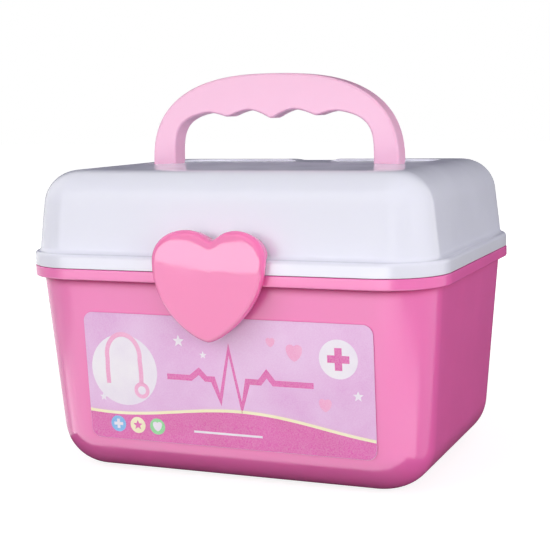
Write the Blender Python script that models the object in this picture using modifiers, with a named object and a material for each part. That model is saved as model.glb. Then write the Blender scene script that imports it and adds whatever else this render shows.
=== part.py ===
"""Toy doctor case: a pink bin with a white domed lid, a folding handle and a heart latch.

Metres, +Z up. X runs across the front, Y runs from the front to the back. The origin is on the
floor under the middle of the case. The bin and the lid are thin moulded shells, lofted through
rounded rectangles. The handle is one cored moulding that snaps onto two lugs in the lid's well.
"""
import math

import bmesh
import bpy
from mathutils import Matrix, Vector

# The parting line and the bin
PARTING_HEIGHT = 0.1164
BIN_WALL = 0.0020
BIN_TOP_LENGTH = 0.2312
BIN_TOP_DEPTH = 0.1846
BIN_TOP_CORNER = 0.0296
BIN_BASE_LENGTH = 0.2192
BIN_BASE_DEPTH = 0.1700
BIN_BASE_CORNER = 0.0285
BIN_FOOT_FILLET = 0.0250
BIN_FOOT_CORNER = 0.0040
FOOT_RING_WIDTH = 0.0060
FOOT_RECESS = 0.0012

# The rolled rim of the bin
RIM_SIDE_OVERHANG = 0.0044
RIM_FRONT_OVERHANG = 0.0047
RIM_HEIGHT = 0.0059
RIM_WALL = 0.0018
RIM_EDGE = 0.0006
UPSTAND_HEIGHT = 0.0034
UPSTAND_WALL = 0.0018
UPSTAND_EDGE = 0.0004

# The lid
LID_GAP = 0.0003
LID_WALL = 0.0020
BAND_SIDE_SETBACK = 0.00045
BAND_FRONT_OVERHANG = 0.0005
BAND_HEIGHT = 0.0076
BAND_EDGE = 0.0018
DOME_SIDE_LEDGE = 0.00445
DOME_FRONT_LEDGE = 0.0056
LEDGE_FILLET = 0.0026
DOME_CORNER = 0.0240
DOME_TOP_CORNER = 0.0050
DOME_DRAFT = 0.0027
DOME_FILLET = 0.0195
DOME_HEIGHT = 0.0520
DOME_CROWN = 0.0017

# The well that takes the folded handle, and the finger notch behind it
WELL_DEPTH = 0.0011
WELL_SIDE_ROOM = 0.0080
WELL_FRONT_ROOM = 0.0054
WELL_BACK_ROOM = 0.0133
WELL_CORNER = 0.0120
NOTCH_LENGTH = 0.0220
NOTCH_FLARE = 0.0040
NOTCH_REACH = 0.0200

# The handle
HANDLE_LENGTH = 0.1520
HANDLE_HEIGHT = 0.0527
HANDLE_FRONT = 0.0096
HANDLE_THICKNESS = 0.0136
HANDLE_EDGE = 0.0016
LEG_WIDTH = 0.0147
GRIP_HEIGHT = 0.0206
GRIP_WALL = 0.0024
FINGER_PITCH = 0.0275
MIDDLE_CUSP = 0.0048
OUTER_CUSP = 0.0034
HEEL_RADIUS = 0.0050
GRIP_RIB = 0.0016
GRIP_RIB_PITCH = 0.0180
GRIP_RIB_SETBACK = 0.0012

# The lugs and pegs that the handle turns on
LUG_RADIUS = 0.0040
LUG_BORE = 0.0024
LUG_SIDE_GAP = 0.0011
PEG_RADIUS = 0.0021
PEG_REACH = 0.0038

# The rear hinges
HINGE_SPREAD = 0.1240
KNUCKLE_RADIUS = 0.0036
LID_KNUCKLE_LENGTH = 0.0140
BIN_KNUCKLE_LENGTH = 0.0070
KNUCKLE_GAP = 0.0004
HINGE_PIN_RADIUS = 0.0015
HINGE_PIN_CHAMFER = 0.0004
PIN_CLEARANCE = 0.0003

# The heart latch, right of the middle, fuller on its left and with its tip to the left, as photographed
LATCH_OFFSET = 0.0024
LATCH_PROUD = 0.0076
LATCH_BULGE = 0.0012
LATCH_EDGE = 0.0028
LATCH_SKIN = 0.0027
LATCH_SKIRT_WALL = 0.0018
LATCH_BAND_GAP = 0.0006
LATCH_DOME_GAP = 0.0016
LATCH_TOP_REACH = 0.0030
HEART_LEFT = 0.0338
HEART_RIGHT = 0.0298
HEART_DROP = 0.0352
HEART_HEIGHT = 0.0586
LATCH_AXIS_PROUD = 0.0023
LATCH_AXIS_RISE = 0.0158
LATCH_LUG_RADIUS = 0.0022
LATCH_LUG_SPREAD = 0.0230
LATCH_LUG_WIDTH = 0.0040
LATCH_CHEEK_WIDTH = 0.0026
LATCH_PIN_RADIUS = 0.0010
LATCH_PIN_CHAMFER = 0.0003

# The snap: a bead on the latch passes below a nose on the rim
NOSE_WIDTH = 0.0200
NOSE_REACH = 0.0012
NOSE_CREST = 0.0010
BEAD_WIDTH = 0.0180
BEAD_CREST = 0.0012
BEAD_DROP = 0.0030
SNAP_RAMP = 0.0018
SNAP_CLEARANCE = 0.0003

# The label on the front of the bin
LABEL_OFFSET = 0.0034
LABEL_LENGTH = 0.1660
LABEL_HEIGHT = 0.0715
LABEL_BASE = 0.0212
LABEL_CORNER = 0.0055
LABEL_THICKNESS = 0.0004
LABEL_GAP = 0.0003

# Shared overruns: how far a cutter runs past a face, and how deep an added boss is rooted
OVERRUN = 0.0040
ROOT = 0.0010
WELD = 0.000001

# Counts
CORNER_STEPS = 8
FILLET_STEPS = 6
BAND_EDGE_STEPS = 3
LEDGE_STEPS = 3
ROUND_STEPS = 16
PIN_SIDES = 20
HANDLE_STEPS = 36
SCALLOP_STEPS = 6
CUSPS_EACH_SIDE = 1
GRIP_RIBS = 5
HEART_STEPS = 7

# Shares
CROWN_SHARES = (0.8, 0.55, 0.3, 0.02)
HANDLE_SHOULDER_POWER = 2.55
OPENING_SHOULDER_POWER = 4.4
CUSP_POWER = 1.7
CUSP_ROUND_SHARE = 0.1
GRIP_BLEND_SHARE = 0.125
HEART_EDGE_SHARES = (0.0, 0.38, 0.71, 0.92, 1.0)
HEART_FACE_SHARES = (0.86, 0.62, 0.34)
# Right half of the heart from its notch to its tip, as Bezier segments in shares of width and height
HEART_CURVE_SHARES = (
    ((0.0, 0.912), (0.11, 0.912), (0.16, 0.995), (0.44, 0.995)),
    ((0.44, 0.995), (0.72, 0.995), (1.0, 0.9), (1.0, 0.735)),
    ((1.0, 0.735), (1.0, 0.25), (0.17, 0.0), (0.0, 0.0)),
)

# Angles
QUARTER_TURN = math.pi / 2
HALF_TURN = math.pi
FULL_TURN = 2 * math.pi
SHARP_ANGLE = math.radians(35)
CHAMFER_ANGLE = math.radians(60)
LATCH_LUG_SLOPE = math.radians(70)
HEART_LEAN = math.radians(3.2)

# Sizes and places worked out from the sizes above
RIM_LENGTH = BIN_TOP_LENGTH + 2 * RIM_SIDE_OVERHANG
RIM_DEPTH = BIN_TOP_DEPTH + 2 * RIM_FRONT_OVERHANG
RIM_CORNER = BIN_TOP_CORNER + RIM_SIDE_OVERHANG
BAND_LENGTH = RIM_LENGTH - 2 * BAND_SIDE_SETBACK
BAND_DEPTH = RIM_DEPTH + 2 * BAND_FRONT_OVERHANG
DOME_LENGTH = BAND_LENGTH - 2 * DOME_SIDE_LEDGE
DOME_DEPTH = BAND_DEPTH - 2 * DOME_FRONT_LEDGE
BIN_TOP = PARTING_HEIGHT - RIM_WALL
LID_BASE = PARTING_HEIGHT + LID_GAP
DOME_BASE = LID_BASE + BAND_HEIGHT
DOME_SHOULDER = LID_BASE + DOME_HEIGHT
DOME_TOP_LENGTH = DOME_LENGTH - 2 * DOME_DRAFT - 2 * DOME_FILLET
DOME_TOP_DEPTH = DOME_DEPTH - 2 * DOME_DRAFT - 2 * DOME_FILLET
WELL_FLOOR = DOME_SHOULDER - WELL_DEPTH
HANDLE_BASE = WELL_FLOOR + LID_GAP
HANDLE_BACK = HANDLE_THICKNESS - HANDLE_FRONT
HANDLE_AXIS = Vector((0, HANDLE_BACK - HEEL_RADIUS, HANDLE_BASE + HEEL_RADIUS))
WELL_LENGTH = HANDLE_LENGTH + 2 * WELL_SIDE_ROOM
WELL_FRONT = HANDLE_FRONT + WELL_FRONT_ROOM
WELL_BACK = HANDLE_AXIS.y + HANDLE_HEIGHT - HEEL_RADIUS + WELL_BACK_ROOM
LEG_MIDDLE = (HANDLE_LENGTH - LEG_WIDTH) / 2
LUG_WIDTH = LEG_WIDTH - 2 * GRIP_WALL - 2 * LUG_SIDE_GAP
HINGE_AXIS = Vector((0, BAND_DEPTH / 2 + KNUCKLE_GAP + KNUCKLE_RADIUS, PARTING_HEIGHT + LID_GAP / 2))
LATCH_FRONT = BAND_DEPTH / 2 + LATCH_PROUD
LATCH_AXIS = Vector((LATCH_OFFSET, -BAND_DEPTH / 2 - LATCH_AXIS_PROUD, PARTING_HEIGHT + LATCH_AXIS_RISE))
LATCH_INSIDE = -LATCH_FRONT + LATCH_SKIN
LATCH_REAR = -DOME_DEPTH / 2 - LATCH_DOME_GAP
LATCH_FOOT = PARTING_HEIGHT - HEART_DROP


def clear_scene():
    """Start from an empty scene."""
    for old in list(bpy.data.objects):
        bpy.data.objects.remove(old, do_unlink=True)


def new_collection(name):
    collection = bpy.data.collections.new(name)
    bpy.context.scene.collection.children.link(collection)
    return collection


clear_scene()
PARTS = new_collection("toy_doctor_case")
CUTTERS = new_collection("toy_doctor_case_cutters")


def plastic(name, colour, roughness, metallic=0.0):
    """A Principled material for one sub-part."""
    material = bpy.data.materials.new(name)
    material.use_nodes = True
    shader = material.node_tree.nodes["Principled BSDF"]
    shader.inputs["Base Color"].default_value = (*colour, 1.0)
    shader.inputs["Roughness"].default_value = roughness
    shader.inputs["Metallic"].default_value = metallic
    material.diffuse_color = (*colour, 1.0)
    return material


def add_object(name, mesh, material):
    """One visible sub-part, smooth on its round faces."""
    part = bpy.data.objects.new(name, mesh)
    mesh.materials.clear()
    mesh.materials.append(material)
    mesh.shade_smooth()
    mesh.set_sharp_from_angle(angle=SHARP_ANGLE)
    PARTS.objects.link(part)
    return part


def add_tool(name, mesh):
    """A solid that only cuts or joins: hidden from renders and drawn as wire."""
    tool = bpy.data.objects.new(name, mesh)
    tool.hide_render = True
    tool.display_type = "WIRE"
    CUTTERS.objects.link(tool)
    return tool


def combine(part, tool, operation):
    boolean = part.modifiers.new(tool.name, "BOOLEAN")
    boolean.object = tool
    boolean.operation = operation
    boolean.solver = "EXACT"


def set_origin(part, place):
    """Move the object's origin onto its joint axis and leave its shape where it is."""
    part.data.transform(Matrix.Translation(-place))
    part.location = place


def superellipse(angle, half_length, height, power):
    """A point of a flat-topped arch with square legs: angle 0 is its right foot."""
    across = math.cos(angle)
    up = math.sin(angle)
    x = math.copysign(half_length * abs(across) ** (2 / power), across)
    z = height * abs(up) ** (2 / power)
    return x, z


def arc(centre, radius, start, end, steps):
    """Points of an arc in a plane, from one angle to another."""
    points = []
    for step in range(steps + 1):
        angle = start + (end - start) * step / steps
        points.append((centre[0] + radius * math.cos(angle), centre[1] + radius * math.sin(angle)))
    return points


def rounded_rectangle(half_length, half_depth, corner, steps=CORNER_STEPS):
    """A closed loop of four corner arcs, anticlockwise from the right side."""
    centres = (
        (half_length - corner, half_depth - corner),
        (corner - half_length, half_depth - corner),
        (corner - half_length, corner - half_depth),
        (half_length - corner, corner - half_depth),
    )
    points = []
    for index, centre in enumerate(centres):
        start = QUARTER_TURN * index
        points += arc(centre, corner, start, start + QUARTER_TURN, steps)
    return points


def ring(length, depth, corner, height):
    """One level of a shell: a rounded rectangle lying flat at a height."""
    return [(x, y, height) for x, y in rounded_rectangle(length / 2, depth / 2, corner)]


def loft(name, rings):
    """A closed mesh through rings of equal point count, capped at both ends."""
    mesh = bpy.data.meshes.new(name)
    build = bmesh.new()
    rows = [[build.verts.new(point) for point in points] for points in rings]
    count = len(rows[0])
    for lower, upper in zip(rows, rows[1:]):
        for index in range(count):
            after = (index + 1) % count
            build.faces.new((lower[index], lower[after], upper[after], upper[index]))
    build.faces.new(reversed(rows[0]))
    build.faces.new(rows[-1])
    bmesh.ops.recalc_face_normals(build, faces=build.faces)
    build.to_mesh(mesh)
    build.free()
    return mesh


def slab(name, outline, thickness, edge=0.0, edge_steps=2):
    """A flat outline with thickness, centred on its plane, its edges rounded by edge."""
    curve = bpy.data.curves.new(name, "CURVE")
    curve.dimensions = "2D"
    curve.fill_mode = "BOTH"
    curve.extrude = thickness / 2 - edge
    curve.bevel_depth = edge
    curve.bevel_resolution = edge_steps
    curve.offset = -edge
    spline = curve.splines.new("POLY")
    spline.points.add(len(outline) - 1)
    for point, (u, v) in zip(spline.points, outline):
        point.co = (u, v, 0.0, 1.0)
    spline.use_cyclic_u = True
    drawn = bpy.data.objects.new(name, curve)
    CUTTERS.objects.link(drawn)
    bpy.context.view_layer.update()
    seen = drawn.evaluated_get(bpy.context.evaluated_depsgraph_get())
    mesh = bpy.data.meshes.new_from_object(seen)
    bpy.data.objects.remove(drawn, do_unlink=True)
    bpy.data.curves.remove(curve)
    weld = bmesh.new()
    weld.from_mesh(mesh)
    bmesh.ops.remove_doubles(weld, verts=weld.verts, dist=WELD)
    bmesh.ops.recalc_face_normals(weld, faces=weld.faces)
    weld.to_mesh(mesh)
    weld.free()
    return mesh


SIDE_ON = Matrix(((0, 0, 1, 0), (1, 0, 0, 0), (0, 1, 0, 0), (0, 0, 0, 1)))
FRONT_ON = Matrix.Rotation(QUARTER_TURN, 4, "X")


def side_prism(name, profile, middle, width):
    """A profile drawn in Y and Z, made width thick along X about middle."""
    mesh = slab(name, profile, width)
    mesh.transform(Matrix.Translation((middle, 0, 0)) @ SIDE_ON)
    return mesh


def front_prism(name, outline, front, back, edge=0.0, edge_steps=2):
    """An outline drawn in X and Z, made solid from y = front to y = back."""
    mesh = slab(name, outline, back - front, edge, edge_steps)
    mesh.transform(Matrix.Translation((0, (front + back) / 2, 0)) @ FRONT_ON)
    return mesh


def cross_cylinder(name, middle, radius, length, sides=PIN_SIDES):
    """A cylinder along X."""
    bpy.ops.mesh.primitive_cylinder_add(vertices=sides, radius=radius, depth=length)
    made = bpy.context.active_object
    mesh = made.data
    bpy.data.objects.remove(made, do_unlink=True)
    mesh.name = name
    mesh.transform(Matrix.Translation(middle) @ SIDE_ON)
    return mesh


def merged(name, meshes):
    """Several separate solids in one mesh, for one boolean step."""
    together = bmesh.new()
    for mesh in meshes:
        together.from_mesh(mesh)
    result = bpy.data.meshes.new(name)
    together.to_mesh(result)
    together.free()
    for mesh in meshes:
        bpy.data.meshes.remove(mesh)
    return result


def both_sides(make, spread):
    """The same solid made at x = -spread and at x = +spread."""
    return [make(-spread), make(spread)]


def knuckle_profile(axis, radius, web_reach, web_low, web_high, start, end):
    """A hinge barrel seen side on, with a web running forward to the wall that carries it."""
    barrel = arc((axis.y, axis.z), radius, start, end, ROUND_STEPS)
    first = barrel[0]
    last = barrel[-1]
    low_point = (axis.y - web_reach, axis.z + web_low)
    high_point = (axis.y - web_reach, axis.z + web_high)
    if first[1] > last[1]:
        low_point, high_point = high_point, low_point
    return barrel + [high_point, low_point]


# The bin
def bin_side(height):
    """Length and depth of the bin's outer wall at a height above the foot fillet."""
    share = (height - BIN_FOOT_FILLET) / (BIN_TOP - BIN_FOOT_FILLET)
    length = BIN_BASE_LENGTH + (BIN_TOP_LENGTH - BIN_BASE_LENGTH) * share
    depth = BIN_BASE_DEPTH + (BIN_TOP_DEPTH - BIN_BASE_DEPTH) * share
    return length, depth


def bin_foot_rings(wall, floor):
    """The rounded foot, from the flat floor up to the side wall; wall is the inset of the skin."""
    rings = []
    radius = BIN_FOOT_FILLET - wall
    corner_range = BIN_BASE_CORNER - BIN_FOOT_CORNER
    for step in range(FILLET_STEPS + 1):
        angle = QUARTER_TURN * (1 - step / FILLET_STEPS)
        inset = radius * (1 - math.cos(angle))
        corner = BIN_BASE_CORNER - wall - (corner_range - wall / 2) * inset / radius
        length = BIN_BASE_LENGTH - 2 * wall - 2 * inset
        depth = BIN_BASE_DEPTH - 2 * wall - 2 * inset
        rings.append(ring(length, depth, corner, floor + radius * (1 - math.sin(angle))))
    return rings


def make_bin(material):
    foot_length = BIN_BASE_LENGTH - 2 * BIN_FOOT_FILLET - 2 * FOOT_RING_WIDTH
    foot_depth = BIN_BASE_DEPTH - 2 * BIN_FOOT_FILLET - 2 * FOOT_RING_WIDTH
    lip_length = RIM_LENGTH - 2 * RIM_WALL
    lip_depth = RIM_DEPTH - 2 * RIM_WALL
    lip_corner = RIM_CORNER - RIM_WALL
    rim_base = PARTING_HEIGHT - RIM_HEIGHT
    edge_length = RIM_LENGTH - 2 * RIM_EDGE
    edge_depth = RIM_DEPTH - 2 * RIM_EDGE
    edge_corner = RIM_CORNER - RIM_EDGE
    inner_length = BIN_TOP_LENGTH - 2 * BIN_WALL
    inner_depth = BIN_TOP_DEPTH - 2 * BIN_WALL
    inner_corner = BIN_TOP_CORNER - BIN_WALL
    up_length = inner_length + 2 * UPSTAND_WALL
    up_depth = inner_depth + 2 * UPSTAND_WALL
    up_corner = inner_corner + UPSTAND_WALL
    up_top = PARTING_HEIGHT + UPSTAND_HEIGHT
    up_edge = 2 * UPSTAND_EDGE
    rings = [
        ring(foot_length, foot_depth, BIN_FOOT_CORNER, FOOT_RECESS),
        ring(foot_length, foot_depth, BIN_FOOT_CORNER, 0.0),
    ]
    rings += bin_foot_rings(0.0, 0.0)
    rings += [
        ring(BIN_TOP_LENGTH, BIN_TOP_DEPTH, BIN_TOP_CORNER, BIN_TOP),
        ring(lip_length, lip_depth, lip_corner, BIN_TOP),
        ring(lip_length, lip_depth, lip_corner, rim_base),
        ring(edge_length, edge_depth, edge_corner, rim_base),
        ring(RIM_LENGTH, RIM_DEPTH, RIM_CORNER, rim_base + RIM_EDGE),
        ring(RIM_LENGTH, RIM_DEPTH, RIM_CORNER, PARTING_HEIGHT - RIM_EDGE),
        ring(edge_length, edge_depth, edge_corner, PARTING_HEIGHT),
        ring(up_length, up_depth, up_corner, PARTING_HEIGHT),
        ring(up_length, up_depth, up_corner, up_top - UPSTAND_EDGE),
        ring(up_length - up_edge, up_depth - up_edge, up_corner - UPSTAND_EDGE, up_top),
        ring(inner_length + up_edge, inner_depth + up_edge, inner_corner + UPSTAND_EDGE, up_top),
        ring(inner_length, inner_depth, inner_corner, up_top - UPSTAND_EDGE),
        ring(inner_length, inner_depth, inner_corner, BIN_TOP),
    ]
    rings += reversed(bin_foot_rings(BIN_WALL, FOOT_RECESS + BIN_WALL))
    part = add_object("bin", loft("bin", rings), material)

    # Two knuckles of each rear hinge, webbed to the rim below the parting line
    web_reach = HINGE_AXIS.y - RIM_DEPTH / 2 + ROOT
    web_low = -KNUCKLE_RADIUS
    web_high = PARTING_HEIGHT - HINGE_AXIS.z
    start = -QUARTER_TURN
    end = HALF_TURN - math.asin(web_high / KNUCKLE_RADIUS)
    profile = knuckle_profile(HINGE_AXIS, KNUCKLE_RADIUS, web_reach, web_low, web_high, start, end)
    offset = LID_KNUCKLE_LENGTH / 2 + KNUCKLE_GAP + BIN_KNUCKLE_LENGTH / 2
    knuckles = []
    for hinge in (-HINGE_SPREAD / 2, HINGE_SPREAD / 2):
        for side in (hinge - offset, hinge + offset):
            knuckles.append(side_prism("bin_knuckle", profile, side, BIN_KNUCKLE_LENGTH))
    combine(part, add_tool("bin_knuckles", merged("bin_knuckles", knuckles)), "UNION")
    combine(part, hinge_bore("bin_hinge_bore"), "DIFFERENCE")

    # The nose that the latch snaps under, on the front of the rim
    face = -RIM_DEPTH / 2
    middle = PARTING_HEIGHT - RIM_HEIGHT / 2
    nose = [
        (face + ROOT, middle - NOSE_CREST / 2 - SNAP_RAMP),
        (face - NOSE_REACH, middle - NOSE_CREST / 2),
        (face - NOSE_REACH, middle + NOSE_CREST / 2),
        (face + ROOT, middle + NOSE_CREST / 2 + SNAP_RAMP),
    ]
    nose_mesh = side_prism("latch_nose", nose, LATCH_OFFSET, NOSE_WIDTH)
    combine(part, add_tool("latch_nose", nose_mesh), "UNION")
    return part


def hinge_bore(name):
    """One long cutter through the knuckles of both rear hinges."""
    length = HINGE_SPREAD + LID_KNUCKLE_LENGTH + 2 * BIN_KNUCKLE_LENGTH + 2 * OVERRUN
    radius = HINGE_PIN_RADIUS + PIN_CLEARANCE
    return add_tool(name, cross_cylinder(name, HINGE_AXIS, radius, length))


# The lid
def crown_height(x, y, wall):
    """Height of the slightly crowned top at a place in plan, wall below its outer face."""
    rise = 1 - (2 * x / DOME_TOP_LENGTH) ** 2
    rise *= 1 - (2 * y / DOME_TOP_DEPTH) ** 2
    return DOME_SHOULDER - wall + DOME_CROWN * rise


def dome_rings(wall, foot):
    """The dome from its foot to the crown; wall is how far the skin lies inside the outer face."""
    rings = []
    inset_range = DOME_DRAFT + DOME_FILLET
    corner_range = DOME_CORNER - DOME_TOP_CORNER
    fillet_centre = DOME_SHOULDER - DOME_FILLET
    radius = DOME_FILLET - wall

    def level(inset, height):
        corner = DOME_CORNER - wall - (corner_range - wall / 2) * inset / inset_range
        return ring(DOME_LENGTH - 2 * wall - 2 * inset, DOME_DEPTH - 2 * wall - 2 * inset, corner, height)

    rings.append(level(0.0, foot))
    for step in range(FILLET_STEPS + 1):
        angle = QUARTER_TURN * step / FILLET_STEPS
        inset = DOME_DRAFT + radius * (1 - math.cos(angle))
        rings.append(level(inset, fillet_centre + radius * math.sin(angle)))
    top_corner = DOME_CORNER - wall - (corner_range - wall / 2) * (DOME_DRAFT + radius) / inset_range
    for share in CROWN_SHARES:
        half_length = DOME_TOP_LENGTH / 2 * share
        half_depth = DOME_TOP_DEPTH / 2 * share
        outline = rounded_rectangle(half_length, half_depth, top_corner * share)
        rings.append([(x, y, crown_height(x, y, wall)) for x, y in outline])
    return rings


def well_block(name, margin, floor, drop):
    """The handle well as a solid, grown by margin on its sides, its top drop below the lid's top."""
    length = WELL_LENGTH + 2 * margin
    depth = WELL_FRONT + WELL_BACK + 2 * margin
    centre = (WELL_BACK - WELL_FRONT) / 2
    outline = [
        (x, y + centre) for x, y in rounded_rectangle(length / 2, depth / 2, WELL_CORNER + margin)
    ]
    low = [(x, y, floor) for x, y in outline]
    high = [(x, y, crown_height(x, y, drop)) for x, y in outline]
    return loft(name, [low, high])


def notch_block(name, margin, floor, top, reach):
    """The finger notch as a solid: a flared channel running back from the well."""
    narrow = NOTCH_LENGTH / 2 + margin
    wide = narrow + NOTCH_FLARE * (top - floor) / WELL_DEPTH
    outline = [(-narrow, floor), (narrow, floor), (wide, top), (-wide, top)]
    return front_prism(name, outline, WELL_BACK - WELL_CORNER / 2, WELL_BACK + reach)


def make_lid(material):
    band_top = DOME_BASE
    inner_length = BAND_LENGTH - 2 * LID_WALL
    inner_depth = BAND_DEPTH - 2 * LID_WALL
    inner_corner = RIM_CORNER - LID_WALL

    def band_level(inset, height):
        return ring(BAND_LENGTH - 2 * inset, BAND_DEPTH - 2 * inset, RIM_CORNER - inset, height)

    rings = list(reversed(dome_rings(LID_WALL, band_top - LID_WALL)))
    rings += [
        ring(inner_length, inner_depth, inner_corner, band_top - LID_WALL),
        ring(inner_length, inner_depth, inner_corner, LID_BASE),
        band_level(RIM_EDGE, LID_BASE),
        band_level(0.0, LID_BASE + RIM_EDGE),
    ]
    for step in range(BAND_EDGE_STEPS + 1):
        angle = QUARTER_TURN * step / BAND_EDGE_STEPS
        inset = BAND_EDGE * (1 - math.cos(angle))
        rings.append(band_level(inset, band_top - BAND_EDGE * (1 - math.sin(angle))))
    for step in range(LEDGE_STEPS):
        angle = QUARTER_TURN * step / LEDGE_STEPS
        reach = LEDGE_FILLET * (1 - math.sin(angle))
        height = band_top + LEDGE_FILLET * (1 - math.cos(angle))
        rings.append(ring(DOME_LENGTH + 2 * reach, DOME_DEPTH + 2 * reach, DOME_CORNER + reach, height))
    rings += dome_rings(0.0, band_top + LEDGE_FILLET)
    part = add_object("lid", loft("lid", rings), material)

    # The well keeps the wall thickness below its floor
    under = well_block("well_floor", LID_WALL, WELL_FLOOR - LID_WALL, LID_WALL / 2)
    combine(part, add_tool("well_floor", under), "UNION")
    roof = DOME_SHOULDER - LID_WALL / 2
    under = notch_block("notch_floor", LID_WALL, WELL_FLOOR - LID_WALL, roof, NOTCH_REACH / 2)
    combine(part, add_tool("notch_floor", under), "UNION")
    well = well_block("well_cut", 0.0, WELL_FLOOR, -OVERRUN)
    combine(part, add_tool("well_cut", well), "DIFFERENCE")
    notch = notch_block("notch_cut", 0.0, WELL_FLOOR, DOME_SHOULDER + OVERRUN, NOTCH_REACH)
    combine(part, add_tool("notch_cut", notch), "DIFFERENCE")

    # The two lugs that stand in the handle's hollow legs
    side = (HANDLE_AXIS.y, HANDLE_AXIS.z)
    profile = arc(side, LUG_RADIUS, 0.0, HALF_TURN, ROUND_STEPS)
    profile += [(side[0] - LUG_RADIUS, WELL_FLOOR - ROOT), (side[0] + LUG_RADIUS, WELL_FLOOR - ROOT)]
    lugs = both_sides(lambda x: side_prism("handle_lug", profile, x, LUG_WIDTH), LEG_MIDDLE)
    combine(part, add_tool("handle_lugs", merged("handle_lugs", lugs)), "UNION")
    bore = cross_cylinder("lug_bore", HANDLE_AXIS, LUG_BORE, HANDLE_LENGTH)
    combine(part, add_tool("lug_bore", bore), "DIFFERENCE")

    # The middle knuckle of each rear hinge, webbed to the band above the parting line
    web_reach = HINGE_AXIS.y - BAND_DEPTH / 2 + ROOT
    web_low = LID_BASE + RIM_EDGE - HINGE_AXIS.z
    start = HALF_TURN - math.asin(web_low / KNUCKLE_RADIUS)
    end = FULL_TURN + QUARTER_TURN
    web_high = KNUCKLE_RADIUS
    profile = knuckle_profile(HINGE_AXIS, KNUCKLE_RADIUS, web_reach, web_low, web_high, start, end)
    knuckles = both_sides(
        lambda x: side_prism("lid_knuckle", profile, x, LID_KNUCKLE_LENGTH), HINGE_SPREAD / 2
    )
    combine(part, add_tool("lid_knuckles", merged("lid_knuckles", knuckles)), "UNION")
    combine(part, hinge_bore("lid_hinge_bore"), "DIFFERENCE")

    # The two lugs that carry the latch, on the front wall of the dome
    wall = -DOME_DEPTH / 2 + LID_WALL
    axis = LATCH_AXIS
    start = LATCH_LUG_SLOPE
    profile = arc((axis.y, axis.z), LATCH_LUG_RADIUS, start, FULL_TURN - start, ROUND_STEPS)
    profile += [(wall, DOME_BASE), (wall, axis.z - LATCH_LUG_RADIUS)]
    lugs = [
        side_prism("latch_lug", profile, LATCH_OFFSET + offset, LATCH_LUG_WIDTH)
        for offset in (-LATCH_LUG_SPREAD / 2, LATCH_LUG_SPREAD / 2)
    ]
    combine(part, add_tool("latch_lugs", merged("latch_lugs", lugs)), "UNION")
    combine(part, latch_bore("lid_latch_bore"), "DIFFERENCE")
    set_origin(part, HINGE_AXIS)
    return part


# The handle
def arch(half_length, height, base, power, steps=HANDLE_STEPS):
    """The handle's outline from its right foot over to its left foot."""
    points = []
    for step in range(steps + 1):
        x, z = superellipse(HALF_TURN * step / steps, half_length, height, power)
        points.append((x, base + z))
    return points


def arch_height(x, half_length, height, base, power):
    return base + height * (1 - (abs(x) / half_length) ** power) ** (1 / power)


def scalloped_arch(half_length, height, base):
    """The opening's outline from its left foot to its right foot, with a point between fingers."""
    power = OPENING_SHOULDER_POWER
    reach = FINGER_PITCH * (CUSPS_EACH_SIDE + 1 / 2)
    shoulder = []
    for x, z in arch(half_length, height, base, power):
        if x > reach + FINGER_PITCH * GRIP_BLEND_SHARE:
            shoulder.append((x, z))
    grip = []
    count = 2 * (2 * CUSPS_EACH_SIDE + 1) * SCALLOP_STEPS
    for step in range(count + 1):
        x = -reach + 2 * reach * step / count
        cusp = round(x / FINGER_PITCH)
        away = min(1.0, abs(x - cusp * FINGER_PITCH) / (FINGER_PITCH / 2))
        away = math.hypot(away, CUSP_ROUND_SHARE) - CUSP_ROUND_SHARE
        away /= math.hypot(1, CUSP_ROUND_SHARE) - CUSP_ROUND_SHARE
        drop = MIDDLE_CUSP if cusp == 0 else OUTER_CUSP
        z = arch_height(x, half_length, height, base, power)
        if abs(cusp) <= CUSPS_EACH_SIDE:
            z -= drop * (1 - away) ** CUSP_POWER
        grip.append((x, z))
    left = [(-x, z) for x, z in shoulder]
    return left + grip + list(reversed(shoulder))


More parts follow.
